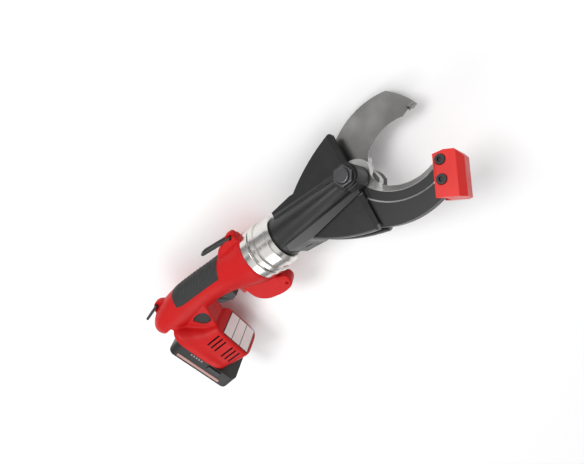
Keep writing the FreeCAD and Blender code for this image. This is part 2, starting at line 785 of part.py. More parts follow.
# -------------------------------------------------------------- strap rings
def strap_ring(eye, end_x, end_y, wire=1.9, half_width=5.5):
    """Narrow wire loop through a lug eye, lying back along the tool."""
    run = math.hypot(end_x, end_y)
    bend = 3.5
    a, b = half_width - bend, run - bend
    pieces = []
    for x, z, axis, length in ((0, -a, Z, 2 * a), (run, -a, Z, 2 * a),
                               (bend, -half_width, X, run - 2 * bend),
                               (bend, half_width, X, run - 2 * bend)):
        pieces.append(Part.makeCylinder(wire, length, point(x, 0, z), axis))
    for x, z, start, turn in ((bend, a, 0, 90), (b, a, run, -90), (b, -a, run, 90), (bend, -a, 0, -90)):
        disc = Part.Face(Part.Wire(Part.makeCircle(wire, point(start, 0, z), Z)))
        pieces.append(disc.revolve(point(x, 0, z), Y, turn))
    ring = fused(pieces)
    angle = math.degrees(math.atan2(end_y, end_x))
    ring.rotate(ORIGIN, Z, angle)
    ring.translate(eye)
    return ring


# ------------------------------------------------------------------- write
save_head("cutter_fork", cutter_fork())
save_head("upper_blade", upper_blade())
save_head("lower_blade", lower_blade())
save_head("guide_block", guide_block())
save_head("guide_screws", guide_screws())
save_head("pivot_bolt", pivot_bolt())
save_head("pivot_nut", pivot_nut())
save_head("pivot_washers", pivot_washers())
save_head("push_yoke", push_yoke())
save_head("cross_pin", cross_pin())
save_head("cam_roller_near", cam_roller(1))
save_head("cam_roller_far", cam_roller(-1))
save_head("return_spring", coil(-143.9, -106.2, 13.0, 1.5, 6))

save("coupling_socket", coupling_socket())
save("locking_balls", locking_balls())
save("release_collar", release_collar())
save("hydraulic_cylinder", hydraulic_cylinder())
save("ram", ram())
save("ram_seal", ram_seal())

shell = housing()
save("housing_near", half(shell, 1))
save("housing_far", half(shell, -1))
save("housing_screws", housing_screws())
save("grip_cover", grip_cover())
save("label_panels", label_panels())
save("throat_pads", group(throat_pads(0.0)))

save("trigger", trigger())
save("trigger_pin", trigger_pin())
save("trigger_switch", trigger_switch())
save("release_button", release_button())
save("release_valve", release_valve())

save("motor_can", motor_can())
save("motor_rotor", motor_rotor())
save("motor_fan", motor_fan())
save("motor_pinion", motor_pinion())
save("pump_gear", pump_gear())
save("eccentric_shaft", eccentric_shaft())
save("pump_block", pump_block())
save("pump_plunger", pump_plunger())
save("pressure_pipe", pressure_pipe())
save("oil_reservoir", oil_reservoir())
save("control_board", control_board())

save_battery("battery_lower_case", battery_case(-BATTERY_DEPTH - 1, -15.0))
save_battery("battery_upper_case", battery_case(-15.0, 1))
save_battery("battery_cells", battery_cells())
save_battery("battery_rails", battery_rails())
save_battery("battery_latch_near", battery_latch(1))
save_battery("battery_latch_far", battery_latch(-1))
save_battery("battery_gauge", gauge_panel())
save_battery("battery_label", battery_label())

save("strap_ring_front", strap_ring(FRONT_EYE, -49.0, 5.2))
save("strap_ring_rear", strap_ring(REAR_EYE, -31.5, -7.1))
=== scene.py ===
import json
import math

import bmesh
import bpy
from mathutils import Matrix, Vector


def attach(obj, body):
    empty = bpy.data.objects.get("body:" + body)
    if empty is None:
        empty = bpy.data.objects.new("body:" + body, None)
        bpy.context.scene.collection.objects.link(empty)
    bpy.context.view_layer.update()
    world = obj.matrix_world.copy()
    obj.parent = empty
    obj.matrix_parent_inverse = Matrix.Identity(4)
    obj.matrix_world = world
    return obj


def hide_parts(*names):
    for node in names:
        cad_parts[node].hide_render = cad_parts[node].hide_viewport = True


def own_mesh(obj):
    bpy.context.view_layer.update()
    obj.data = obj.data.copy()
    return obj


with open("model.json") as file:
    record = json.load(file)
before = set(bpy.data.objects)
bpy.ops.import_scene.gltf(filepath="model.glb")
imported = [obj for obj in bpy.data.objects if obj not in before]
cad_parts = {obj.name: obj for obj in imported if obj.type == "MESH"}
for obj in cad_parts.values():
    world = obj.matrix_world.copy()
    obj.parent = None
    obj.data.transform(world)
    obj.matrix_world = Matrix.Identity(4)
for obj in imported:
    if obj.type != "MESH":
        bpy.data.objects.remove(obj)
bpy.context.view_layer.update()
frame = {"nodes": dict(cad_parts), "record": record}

# ---------------------------------------------------------------- places
# The tool's own axes: millimetres from the blade pivot, X toward the jaws,
# Y toward the top of the grip and Z up.
PIVOT = Vector(next(j["pos_m"] for j in frame["record"]["behaviour"]["joints"]
                    if j["name"] == "upper_blade_swing"))
MM = 0.001
HEAD = Matrix.Rotation(math.radians(-40), 3, "X")
SEAT = Vector((-335.0, -20.5, 0.0))
SEAT_TURN = Matrix.Rotation(math.radians(8), 3, "Z")

# Vent slits over the motor: two groups, in mm.
SLIT_STARTS = (-51.0, -76.0)   # highest slit of each group
SLIT_PITCH = 6.4
SLIT_COUNT = 3
SLIT_SPAN = (-306, -284)


def at(x, y, z=0.0):
    return PIVOT + Vector((x, y, z)) * MM


def at_head(x, y, z=0.0):
    return PIVOT + HEAD @ Vector((x, y, z)) * MM


def at_battery(x, y, z=0.0):
    return PIVOT + (SEAT + SEAT_TURN @ Vector((x, y, z))) * MM


# ------------------------------------------------------------- materials
class Nodes:
    """A material's node tree, with short ways to add and join nodes."""

    def __init__(self, name):
        self.mat = bpy.data.materials.new(name)
        self.mat.use_nodes = True
        self.tree = self.mat.node_tree
        self.shader = self.tree.nodes["Principled BSDF"]
        coords = self.add("ShaderNodeTexCoord")
        self.place = coords.outputs["Object"]

    def add(self, kind, **settings):
        node = self.tree.nodes.new(kind)
        for key, value in settings.items():
            setattr(node, key, value)
        return node

    def feed(self, socket, value):
        if hasattr(value, "is_output"):
            self.tree.links.new(value, socket)
        else:
            socket.default_value = value

    def noise(self, scale, detail=3.0, stretch=None, roughness=0.5):
        node = self.add("ShaderNodeTexNoise")
        node.inputs["Scale"].default_value = scale
        node.inputs["Detail"].default_value = detail
        node.inputs["Roughness"].default_value = roughness
        source = self.place
        if stretch:
            mapping = self.add("ShaderNodeMapping")
            mapping.inputs["Scale"].default_value = stretch
            self.tree.links.new(source, mapping.inputs["Vector"])
            source = mapping.outputs["Vector"]
        self.tree.links.new(source, node.inputs["Vector"])
        return node.outputs["Fac"]

    def spread(self, value, low, high, start=0.0, end=1.0):
        """Maps a value running from start to end onto low to high."""
        node = self.add("ShaderNodeMapRange")
        self.feed(node.inputs["Value"], value)
        node.inputs["From Min"].default_value = start
        node.inputs["From Max"].default_value = end
        node.inputs["To Min"].default_value = low
        node.inputs["To Max"].default_value = high
        return node.outputs["Result"]

    def mix(self, share, first, second):
        node = self.add("ShaderNodeMix", data_type="RGBA")
        self.feed(node.inputs["Factor"], share)
        self.feed(node.inputs["A"], first)
        self.feed(node.inputs["B"], second)
        return node.outputs["Result"]

    def maths(self, operation, a, b=0.0):
        node = self.add("ShaderNodeMath", operation=operation)
        self.feed(node.inputs[0], a)
        self.feed(node.inputs[1], b)
        return node.outputs["Value"]

    def bump(self, height, strength, distance=0.0002, under=None):
        node = self.add("ShaderNodeBump")
        self.feed(node.inputs["Height"], height)
        node.inputs["Strength"].default_value = strength
        node.inputs["Distance"].default_value = distance
        if under is not None:
            self.tree.links.new(under, node.inputs["Normal"])
        return node.outputs["Normal"]

    def set(self, socket, value):
        self.feed(self.shader.inputs[socket], value)


def rgb(r, g, b):
    return (r, g, b, 1.0)


def plastic(name, colour, rough, grain=900.0, grain_bump=0.12, mottle=0.06):
    """Moulded plastic: fine spark-eroded grain, faint mottling and handling marks."""
    n = Nodes(name)
    broad = n.noise(22.0, 2.0)
    dull = rgb(*[c * (1 - mottle * 2.2) for c in colour])
    bright = rgb(*[min(1.0, c * (1 + mottle)) for c in colour])
    n.set("Base Color", n.mix(broad, dull, bright))
    marks = n.noise(160.0, 5.0, roughness=0.7)
    n.set("Roughness", n.spread(marks, rough - 0.06, rough + 0.08, 0.3, 0.7))
    n.set("Normal", n.bump(n.noise(grain, 2.0), grain_bump, 0.0001))
    return n.mat


def rubber(name, colour, rough=0.62):
    n = Nodes(name)
    cloud = n.noise(60.0, 4.0)
    low, high = [rgb(*[c * share for c in colour]) for share in (0.8, 1.35)]
    n.set("Base Color", n.mix(cloud, low, high))
    n.set("Roughness", n.spread(n.noise(300.0), rough - 0.08, rough + 0.08))
    n.set("Normal", n.bump(n.noise(1500.0, 2.0), 0.25, 0.0001))
    return n.mat


def metal(name, colour, rough, stretch=None, scratch=0.1, scale=120.0, spread=0.08):
    """Bare metal with machining or grinding marks along one direction."""
    n = Nodes(name)
    lines = n.noise(scale, 4.0, stretch, 0.65)
    soft = n.noise(35.0, 3.0)
    dull = rgb(*[c * 0.86 for c in colour])
    bright = rgb(*[min(1, c * 1.05) for c in colour])
    n.set("Base Color", n.mix(soft, dull, bright))
    n.set("Metallic", 1.0)
    n.set("Roughness", n.spread(lines, rough - spread, rough + spread, 0.25, 0.75))
    n.set("Normal", n.bump(lines, scratch, 0.00004))
    return n.mat


def painted(name, colour, rough, chip):
    """Paint over a casting, with faint orange peel and small rubbed spots."""
    n = Nodes(name)
    broad = n.noise(28.0, 3.0)
    base = n.mix(broad, rgb(*[c * 0.82 for c in colour]), rgb(*[c * 1.2 for c in colour]))
    worn = n.spread(n.noise(210.0, 6.0, roughness=0.75), 0.0, 1.0, 0.70, 0.74)
    n.set("Base Color", n.mix(n.maths("MULTIPLY", worn, chip), base, rgb(0.32, 0.32, 0.32)))
    n.set("Roughness", n.spread(n.noise(90.0, 4.0), rough - 0.07, rough + 0.1, 0.3, 0.7))
    n.set("Normal", n.bump(n.noise(650.0, 3.0), 0.14, 0.0001))
    return n.mat


RED_DARK = plastic("button_red_plastic", (0.42, 0.015, 0.015), 0.42)
BLACK = plastic("black_battery_plastic", (0.011, 0.0105, 0.0105), 0.42, 900.0, 0.25, 0.1)
DARK_GREY = plastic("trigger_grey_plastic", (0.026, 0.026, 0.027), 0.4, 900.0, 0.2, 0.1)
RUBBER = rubber("grip_rubber_black", (0.017, 0.019, 0.018))
SEAL = rubber("seal_rubber", (0.012, 0.012, 0.012), 0.45)
BLACK_STEEL = painted("black_oxide_steel", (0.018, 0.018, 0.019), 0.38, 0.25)
GUIDE_RED = painted("guide_red_anodised", (0.72, 0.013, 0.008), 0.38, 0.1)
BARE_STEEL = metal("turned_steel", (0.46, 0.455, 0.45), 0.28, (1.0, 14.0, 14.0), 0.12)
DARK_STEEL = metal("dark_bolt_steel", (0.13, 0.13, 0.135), 0.32, (1.0, 14.0, 14.0), 0.12)
POLISHED = metal("polished_steel", (0.72, 0.72, 0.72), 0.12)
NICKEL = metal("bright_nickel_turned", (0.80, 0.78, 0.75), 0.20, (260.0, 2.0, 2.0), 0.06, 3.0, 0.04)
ALLOY = metal("milled_aluminium", (0.62, 0.62, 0.64), 0.33, (2.0, 30.0, 2.0))
BRASS = metal("drawn_brass", (0.66, 0.48, 0.22), 0.3)
IRON = metal("stacked_iron", (0.2, 0.2, 0.21), 0.45, (400.0, 2.0, 2.0), 0.3, 4.0)


def board_material():
    n = Nodes("circuit_board")
    cells = n.add("ShaderNodeTexBrick")
    cells.inputs["Scale"].default_value = 240.0
    n.tree.links.new(n.place, cells.inputs["Vector"])
    n.set("Base Color", n.mix(cells.outputs["Fac"], rgb(0.02, 0.16, 0.06), rgb(0.25, 0.3, 0.1)))
    n.set("Roughness", 0.45)
    n.set("Normal", n.bump(n.noise(500.0), 0.2, 0.0001))
    return n.mat


def wrap_material():
    n = Nodes("cell_wrap_film")
    wave = n.noise(80.0, 3.0)
    n.set("Base Color", n.mix(wave, rgb(0.03, 0.20, 0.36), rgb(0.05, 0.28, 0.45)))
    n.set("Roughness", 0.3)
    n.set("Normal", n.bump(n.noise(40.0), 0.3, 0.0003))
    return n.mat


def local_axes(n):
    """Object coordinates turned into the head's own flat frame, in metres from the pivot."""
    shift = n.add("ShaderNodeVectorMath", operation="SUBTRACT")
    n.tree.links.new(n.place, shift.inputs[0])
    shift.inputs[1].default_value = PIVOT
    turn = n.add("ShaderNodeVectorRotate", rotation_type="AXIS_ANGLE")
    turn.inputs["Axis"].default_value = (1, 0, 0)
    turn.inputs["Angle"].default_value = math.radians(40)
    n.tree.links.new(shift.outputs["Vector"], turn.inputs["Vector"])
    parts = n.add("ShaderNodeSeparateXYZ")
    n.tree.links.new(turn.outputs["Vector"], parts.inputs["Vector"])
    return parts.outputs["X"], parts.outputs["Y"], parts.outputs["Z"]


def distance_from(n, cx, cy):
    x, y, z = local_axes(n)
    dx = n.maths("SUBTRACT", x, cx * MM)
    dy = n.maths("SUBTRACT", y, cy * MM)
    total = n.maths("ADD", n.maths("MULTIPLY", dx, dx), n.maths("MULTIPLY", dy, dy))
    return n.maths("SQRT", total), x, y, z


def band(n, value, low, high, soft=0.0002):
    """1 between low and high, 0 outside."""
    rise = n.spread(value, 0.0, 1.0, low - soft, low + soft)
    fall = n.spread(value, 1.0, 0.0, high - soft, high + soft)
    return n.maths("MULTIPLY", rise, fall)


def circle_through(ax, ay, bx, by, cx, cy):
    """Radius and centre of the circle through three points."""
    d = 2 * (ax * (by - cy) + bx * (cy - ay) + cx * (ay - by))
    ux = ((ax**2 + ay**2) * (by - cy) + (bx**2 + by**2) * (cy - ay) + (cx**2 + cy**2) * (ay - by)) / d
    uy = ((ax**2 + ay**2) * (cx - bx) + (bx**2 + by**2) * (ax - cx) + (cx**2 + cy**2) * (bx - ax)) / d
    return math.hypot(ax - ux, ay - uy), ux, uy


def blade_material(name, lower):
    """Tool steel ground around the jaw.  The lower blade is blackened beside its edge."""
    n = Nodes(name)
    radius, cx, cy = circle_through(14.0, 12.0, 48.0, 32.6, 74.0, 30.0)
    reach, x, y, z = distance_from(n, cx, -cy if lower else cy)
    lines = n.noise(900.0, 3.0)
    round_lines = n.add("ShaderNodeTexNoise", noise_dimensions="1D")
    round_lines.inputs["Scale"].default_value = 1600.0
    round_lines.inputs["Detail"].default_value = 3.0
    n.tree.links.new(reach, round_lines.inputs["W"])
    cloud = n.noise(40.0, 4.0)
    ground = n.mix(cloud, rgb(0.50, 0.50, 0.50), rgb(0.64, 0.64, 0.63))
    if lower:
        edge = band(n, reach, 0.0, (radius + 7.4) * MM)
        step = band(n, reach, (radius + 17.3) * MM, (radius + 18.6) * MM)
        bright = n.maths("MAXIMUM", edge, step)
        dark = n.mix(cloud, rgb(0.006, 0.006, 0.0065), rgb(0.014, 0.014, 0.0145))
        colour = n.mix(bright, dark, ground)
        n.set("Metallic", bright)
        n.set("Roughness", n.spread(bright, 0.40, 0.26))
    else:
        behind = n.spread(z, 1.0, 0.0, -1.3 * MM, -0.7 * MM)
        edge = n.maths("MULTIPLY", band(n, reach, 0.0, (radius + 7.4) * MM), behind)
        bare = n.mix(cloud, rgb(0.33, 0.325, 0.32), rgb(0.40, 0.395, 0.39))
        # Painted shade: the bare steel is darker towards the hub, inside the fork.
        bare = n.mix(n.spread(y, 0.0, 1.0, 8 * MM, 62 * MM), rgb(0.19, 0.187, 0.184), bare)
        colour = n.mix(edge, bare, ground)
        n.set("Metallic", 1.0)
        n.set("Roughness", n.spread(cloud, 0.26, 0.40, 0.3, 0.7))
    n.set("Base Color", colour)
    fine = n.bump(round_lines.outputs["Fac"], 0.10, 0.00004)
    n.set("Normal", n.bump(lines, 0.08, 0.00004, fine))
    return n.mat


def fork_material():
    """Satin black paint on the cast fork, with painted highlights on its ribs and outer rims and painted
    shade in the grooves, at the neck and along the front edge.
    """
    n = Nodes("fork_dark_paint")
    radius, cx, cy = circle_through(-76.0, -28.0, -38.0, -49.0, -5.0, -60.0)
    reach, x, y, z = distance_from(n, cx, cy)
    broad = n.noise(28.0, 3.0)
    base = n.mix(broad, rgb(0.011, 0.0112, 0.012), rgb(0.020, 0.0203, 0.021))
    side = n.maths("ABSOLUTE", y)
    line = n.maths("ADD", n.maths("MULTIPLY", x, -0.0505), 11.0 * MM)
    gap = n.maths("SUBTRACT", side, line)
    high = n.maths("ABSOLUTE", z)
    on_rib = n.spread(high, 0.0, 1.0, 18.2 * MM, 18.8 * MM)
    below = n.spread(y, 1.0, 0.0, -0.5 * MM, 0.5 * MM)
    # wide and thin: painted highlights along the ribs, fading away from the pivot.
    wide = n.maths("MULTIPLY", band(n, gap, 1.6 * MM, 16 * MM), n.maths("MULTIPLY", on_rib, below))
    thin = n.maths("MULTIPLY", band(n, gap, 3.0 * MM, 5.0 * MM), on_rib)
    away = n.spread(x, 1.0, 0.25, -110 * MM, -10 * MM)
    light = n.maths("MULTIPLY", n.maths("MAXIMUM", wide, n.maths("MULTIPLY", thin, 0.5)), away)
    # outside, rim and lip: painted highlights on the outer rim and the lip.
    outside = n.spread(y, 1.0, 0.0, -28 * MM, -27 * MM)
    rim = n.maths("MULTIPLY", band(n, reach, (radius - 1.6) * MM, (radius + 3) * MM), outside)
    lip = n.maths("MULTIPLY", n.spread(y, 1.0, 0.0, -56 * MM, -55 * MM),
                  n.spread(x, 0.0, 1.0, -2.4 * MM, -1.6 * MM))
    light = n.maths("MAXIMUM", light, n.maths("MULTIPLY", n.maths("MAXIMUM", rim, lip), 0.9))
    # The painted highlights are mixed in as light grey.
    colour = n.mix(light, base, rgb(0.115, 0.115, 0.118))
    # groove, neck and front: painted shade in the grooves along the ribs, at the neck and along the front
    # edge, mixed in as near black.
    groove = n.maths("MULTIPLY", band(n, gap, -0.5 * MM, 0.9 * MM, 0.0003), on_rib)
    front = n.maths("MULTIPLY", n.spread(x, 0.0, 1.0, -5.0 * MM, -4.4 * MM),
                    n.spread(side, 0.0, 1.0, 18 * MM, 19 * MM))
    neck = band(n, x, -121 * MM, -115.5 * MM)
    dark = n.maths("MAXIMUM", n.maths("MAXIMUM", groove, neck), n.maths("MULTIPLY", front, 0.7))
    dark = n.maths("MULTIPLY", dark, n.spread(lip, 1.0, 0.0))
    colour = n.mix(dark, colour, rgb(0.006, 0.006, 0.006))
    worn = n.spread(n.noise(210.0, 6.0, roughness=0.75), 0.0, 0.25, 0.70, 0.74)
    n.set("Base Color", n.mix(worn, colour, rgb(0.20, 0.20, 0.20)))
    n.set("Roughness", n.spread(n.noise(90.0, 4.0), 0.30, 0.42, 0.3, 0.7))
    peel = n.bump(n.noise(650.0, 3.0), 0.12, 0.0001)
    n.set("Normal", n.bump(n.spread(dark, 1.0, 0.0), 0.5, 0.0006, peel))
    n.shader.inputs["Specular IOR Level"].default_value = 0.42
    return n.mat


def housing_material():
    """Moulded red plastic, with painted shade inside the motor's vent slits."""
    n = Nodes("red_housing_plastic")
    shift = n.add("ShaderNodeVectorMath", operation="SUBTRACT")
    n.tree.links.new(n.place, shift.inputs[0])
    shift.inputs[1].default_value = PIVOT
    parts = n.add("ShaderNodeSeparateXYZ")
    n.tree.links.new(shift.outputs["Vector"], parts.inputs["Vector"])
    x, y = parts.outputs["X"], parts.outputs["Y"]
    # slit: painted shade inside the vent slits, mixed in as near black.
    slit = 0.0
    for first in SLIT_STARTS:
        for k in range(SLIT_COUNT):
            middle = first - SLIT_PITCH * k
            slit = n.maths("MAXIMUM", slit, band(n, y, (middle - 1.2) * MM, (middle + 1.2) * MM, 0.00005))
    slit = n.maths("MULTIPLY", slit, band(n, x, -306.2 * MM, -283.8 * MM, 0.00005))
    broad = n.noise(22.0, 2.0)
    red = n.mix(broad, rgb(0.52, 0.007, 0.008), rgb(0.62, 0.010, 0.010))
    n.set("Base Color", n.mix(slit, red, rgb(0.035, 0.006, 0.006)))
    n.set("Roughness", n.spread(n.noise(160.0, 5.0, roughness=0.7), 0.36, 0.50, 0.3, 0.7))
    n.set("Normal", n.bump(n.noise(700.0, 2.0), 0.10, 0.0001))
    n.shader.inputs["Specular IOR Level"].default_value = 0.20
    return n.mat


def gauge_material():
    """Dark panel with a row of pale charge marks."""
    n = Nodes("charge_gauge_panel")
    shift = n.add("ShaderNodeVectorMath", operation="SUBTRACT")
    n.tree.links.new(n.place, shift.inputs[0])
    shift.inputs[1].default_value = PIVOT + SEAT * MM
    turn = n.add("ShaderNodeVectorRotate", rotation_type="AXIS_ANGLE")
    turn.inputs["Axis"].default_value = (0, 0, 1)
    turn.inputs["Angle"].default_value = math.radians(-8)
    n.tree.links.new(shift.outputs["Vector"], turn.inputs["Vector"])
    parts = n.add("ShaderNodeSeparateXYZ")
    n.tree.links.new(turn.outputs["Vector"], parts.inputs["Vector"])
    along = n.maths("FRACT", n.maths("MULTIPLY", parts.outputs["Y"], 1000 / 4.2))
    marks = n.maths("MULTIPLY", band(n, along, 0.3, 0.75, 0.03),
                    band(n, parts.outputs["X"], -5.0 * MM, -2.6 * MM))
    dark = n.mix(n.noise(120.0, 4.0), rgb(0.012, 0.012, 0.012), rgb(0.024, 0.024, 0.024))
    n.set("Base Color", n.mix(marks, dark, rgb(0.42, 0.40, 0.38)))
    n.set("Roughness", n.spread(n.noise(260.0), 0.25, 0.4))
    n.set("Normal", n.bump(n.noise(800.0), 0.08, 0.0001))
    return n.mat


def label_material():
    """Blank laminated plate in mottled off-white under a thin clear coat."""
    n = Nodes("blank_rating_plate")
    cloud = n.noise(45.0, 3.0)
    n.set("Base Color", n.mix(cloud, rgb(0.80, 0.66, 0.65), rgb(0.93, 0.86, 0.85)))
    n.set("Roughness", n.spread(n.noise(200.0), 0.3, 0.42))
    n.set("Normal", n.bump(n.noise(700.0), 0.08, 0.0001))
    n.shader.inputs["Coat Weight"].default_value = 0.3
    return n.mat


def inset_material(name, first, second):
    n = Nodes(name)
    cloud = n.noise(120.0, 4.0)
    n.set("Base Color", n.mix(cloud, first, second))
    n.set("Roughness", n.spread(n.noise(260.0), 0.34, 0.5))
    n.set("Normal", n.bump(n.noise(800.0), 0.1, 0.0001))
    return n.mat


RED = housing_material()
FORK = fork_material()
GAUGE = gauge_material()
UPPER_BLADE = blade_material("upper_blade_steel", False)
LOWER_BLADE = blade_material("lower_blade_black", True)
LABEL = label_material()
STRIPE = inset_material("battery_stripe", rgb(0.42, 0.20, 0.18), rgb(0.58, 0.34, 0.31))
BOARD = board_material()
WRAP = wrap_material()

BY_NODE = {
    "cutter_fork": FORK, "upper_blade": UPPER_BLADE, "lower_blade": LOWER_BLADE,
    "guide_block": GUIDE_RED, "guide_screws": BLACK_STEEL, "pivot_bolt": DARK_STEEL,
    "pivot_nut": DARK_STEEL, "pivot_washers": BLACK_STEEL, "push_yoke": BARE_STEEL,
    "cross_pin": POLISHED, "cam_roller_near": POLISHED, "cam_roller_far": POLISHED,
    "return_spring": BARE_STEEL, "coupling_socket": NICKEL, "locking_balls": POLISHED,
    "release_collar": NICKEL, "hydraulic_cylinder": BARE_STEEL, "ram": POLISHED,
    "ram_seal": SEAL, "housing_near": RED, "housing_far": RED, "housing_screws": BLACK_STEEL,
    "grip_cover": RUBBER, "label_panels": LABEL, "throat_pads": RUBBER, "trigger": DARK_GREY,
    "trigger_pin": BARE_STEEL, "trigger_switch": BLACK, "release_button": RED_DARK,
    "release_valve": ALLOY, "motor_can": BARE_STEEL, "motor_rotor": IRON, "motor_fan": BLACK,
    "motor_pinion": BARE_STEEL, "pump_gear": BARE_STEEL, "eccentric_shaft": POLISHED,
    "pump_block": ALLOY, "pump_plunger": POLISHED, "pressure_pipe": BRASS,
    "oil_reservoir": SEAL, "control_board": BOARD, "battery_lower_case": BLACK,
    "battery_upper_case": BLACK, "battery_cells": WRAP, "battery_rails": BLACK,
    "battery_latch_near": DARK_GREY, "battery_latch_far": DARK_GREY, "battery_gauge": GAUGE,
    "battery_label": STRIPE, "strap_ring_front": BLACK_STEEL, "strap_ring_rear": BLACK_STEEL,
}

# Widths, in mm, of the small rounding that a made part has on its edges.
EDGE = {
    "cutter_fork": 1.1, "upper_blade": 0.35, "lower_blade": 0.35, "guide_block": 0.9,
    "guide_screws": 0.3, "pivot_bolt": 0.4, "pivot_nut": 0.6, "pivot_washers": 0.3,
    "coupling_socket": 0.3, "release_collar": 0.35, "trigger": 1.6, "release_button": 0.4,
    "battery_lower_case": 0.5, "battery_upper_case": 0.5, "battery_latch_near": 0.4,
    "battery_latch_far": 0.4, "battery_gauge": 0.15, "throat_pads": 0.6, "label_panels": 0.12,
    "push_yoke": 0.4, "housing_screws": 0.25,
}


def soften(obj, width, segments=3, angle=32.0):
    """Weld, round the edges and shade smoothly."""
    weld = obj.modifiers.new("weld", "WELD")
    weld.merge_threshold = 0.00001
    bevel = obj.modifiers.new("edges", "BEVEL")
    bevel.width = width * MM
    bevel.segments = segments
    bevel.limit_method = "ANGLE"
    bevel.angle_limit = math.radians(angle)
    bevel.miter_outer = "MITER_ARC"
    bevel.use_clamp_overlap = True
    bevel.harden_normals = False
    normals = obj.modifiers.new("normals", "WEIGHTED_NORMAL")
    normals.keep_sharp = True


for name, node in frame["nodes"].items():
    node.data.materials.clear()
    node.data.materials.append(BY_NODE[name])
    if name in EDGE:
        soften(node, EDGE[name])


# ------------------------------------------------------- mesh building
def new_object(name, verts, faces, material, smooth=True):
    mesh = bpy.data.meshes.new(name)
    mesh.from_pydata([tuple(v) for v in verts], [], faces)
    mesh.materials.append(material)
    for poly in mesh.polygons:
        poly.use_smooth = smooth
    obj = bpy.data.objects.new(name, mesh)
    bpy.context.scene.collection.objects.link(obj)
    bm = bmesh.new()
    bm.from_mesh(mesh)
    bmesh.ops.recalc_face_normals(bm, faces=bm.faces)
    bm.to_mesh(mesh)
    bm.free()
    return obj


def skin(rings, closed=True):
    """Faces joining rings of equal length, with both ends filled."""
    count = len(rings[0])
    verts = [v for ring in rings for v in ring]
    faces = []
    for k in range(len(rings) - 1):
        for i in range(count if closed else count - 1):
            a, b = k * count + i, k * count + (i + 1) % count
            faces.append((a, b, b + count, a + count))
    faces.append(tuple(range(count)))
    faces.append(tuple((len(rings) - 1) * count + i for i in range(count)))
    return verts, faces


def prism(corners, z0, z1, place=at):
    """Verts and faces of a straight-sided block over an outline."""
    return skin([[place(x, y, z0) for x, y in corners], [place(x, y, z1) for x, y in corners]])


def block(x0, x1, y0, y1, z0, z1, place=at):
    return prism([(x0, y0), (x1, y0), (x1, y1), (x0, y1)], z0, z1, place)


def rod(start, end, radius, sides=40):
    """Verts and faces of a cylinder between two points given in metres."""
    run = (end - start).normalized()
    side = run.orthogonal().normalized()
    other = run.cross(side)
    rings = []
    for centre in (start, end):
        rings.append([centre + (side * math.cos(t) + other * math.sin(t)) * radius * MM
                      for t in [2 * math.pi * i / sides for i in range(sides)]])
    return skin(rings)


def joined(name, pieces, material):
    verts, faces = [], []
    for some_verts, some_faces in pieces:
        base = len(verts)
        verts += some_verts
        faces += [tuple(i + base for i in face) for face in some_faces]
    return new_object(name, verts, faces, material)


def applied(obj):
    """Freeze an object's modifiers into its mesh."""
    graph = bpy.context.evaluated_depsgraph_get()
    graph.update()
    mesh = bpy.data.meshes.new_from_object(obj.evaluated_get(graph))
    obj.modifiers.clear()
    obj.data = mesh
    return obj


def carve(obj, cutter, operation="DIFFERENCE"):
    """Boolean with another closed object, which is then removed."""
    mod = obj.modifiers.new("carve", "BOOLEAN")
    mod.operation = operation
    mod.solver = "MANIFOLD"
    mod.object = cutter
    applied(obj)
    bpy.data.objects.remove(cutter)
    return obj


def cut_half(obj, name, keep_up):
    """A copy of obj that keeps one side of the parting plane."""
    other = bpy.data.objects.new(name, obj.data.copy())
    bpy.context.scene.collection.objects.link(other)
    bm = bmesh.new()
    bm.from_mesh(other.data)
    offset = PARTING_GAP if keep_up else -PARTING_GAP
    cut = bmesh.ops.bisect_plane(bm, geom=bm.verts[:] + bm.edges[:] + bm.faces[:],
                                 plane_co=at(0, 0, offset), plane_no=(0, 0, 1),
                                 clear_inner=keep_up, clear_outer=not keep_up)
    rim = [e for e in cut["geom_cut"] if isinstance(e, bmesh.types.BMEdge)]
    bmesh.ops.holes_fill(bm, edges=rim, sides=0)
    bm.to_mesh(other.data)
    bm.free()
    return other


# ---------------------------------------------------------- housing form
EAR_HALF = 3.2            # half thickness of the plates that hold the strap rings
NOSE_RADIUS = 33.0        # outside of the housing where it meets the coupling
SOCKET_RADIUS = 30.0      # bore for the coupling socket
PARTING_GAP = 0.1         # from the parting plane to each half
EYES = ((-170, 40.2, 2.8), (-340, 28.5, 2.8), (-158, -48.5, 2.4))   # x, y, radius

# x, centre height, half height, half width
HANDLE = (
    (-161.0, 0.0, 33.0, 33.0),
    (-168, 0.1, 32.9, 32.9),
    (-180, 0.5, 31.6, 30.6),
    (-202, 3.2, 27.6, 25.2),
    (-226, 6.4, 24.6, 21.6),
    (-256, 8.2, 23.8, 20.6),
    (-290, 6.4, 25.6, 22.0),
    (-320, 4.0, 25.5, 24.5),
    (-346, 2.0, 21.0, 23.5),
    (-360, 0.8, 15.5, 18.0),
    (-366, 0.5, 11.0, 13.0),
    (-369.5, 0.4, 4.0, 5.0),
)


def handle_values(x):
    """Centre height, half height and half width, smoothly between the stations."""
    table = HANDLE
    k = 0
    while k < len(table) - 2 and x < table[k + 1][0]:
        k += 1
    first, second = table[k], table[k + 1]
    before = table[max(k - 1, 0)]
    after = table[min(k + 2, len(table) - 1)]
    span = second[0] - first[0]
    t = (x - first[0]) / span
    values = []
    for i in (1, 2, 3):
        slope_a = (second[i] - before[i]) / (second[0] - before[0]) * span
        slope_b = (after[i] - first[i]) / (after[0] - first[0]) * span
        a = 2 * first[i] - 2 * second[i] + slope_a + slope_b
        b = 3 * second[i] - 3 * first[i] - 2 * slope_a - slope_b
        values.append(((a * t + b) * t + slope_a) * t + first[i])
    return values


def handle_ring(x, count=64):
    centre, half_y, half_z = handle_values(x)
    return [at(x, centre + half_y * math.sin(t), half_z * math.cos(t))
            for t in [2 * math.pi * i / count for i in range(count)]]


def handle_solid(x0, x1, steps=70):
    return skin([handle_ring(x0 + (x1 - x0) * k / steps) for k in range(steps + 1)])


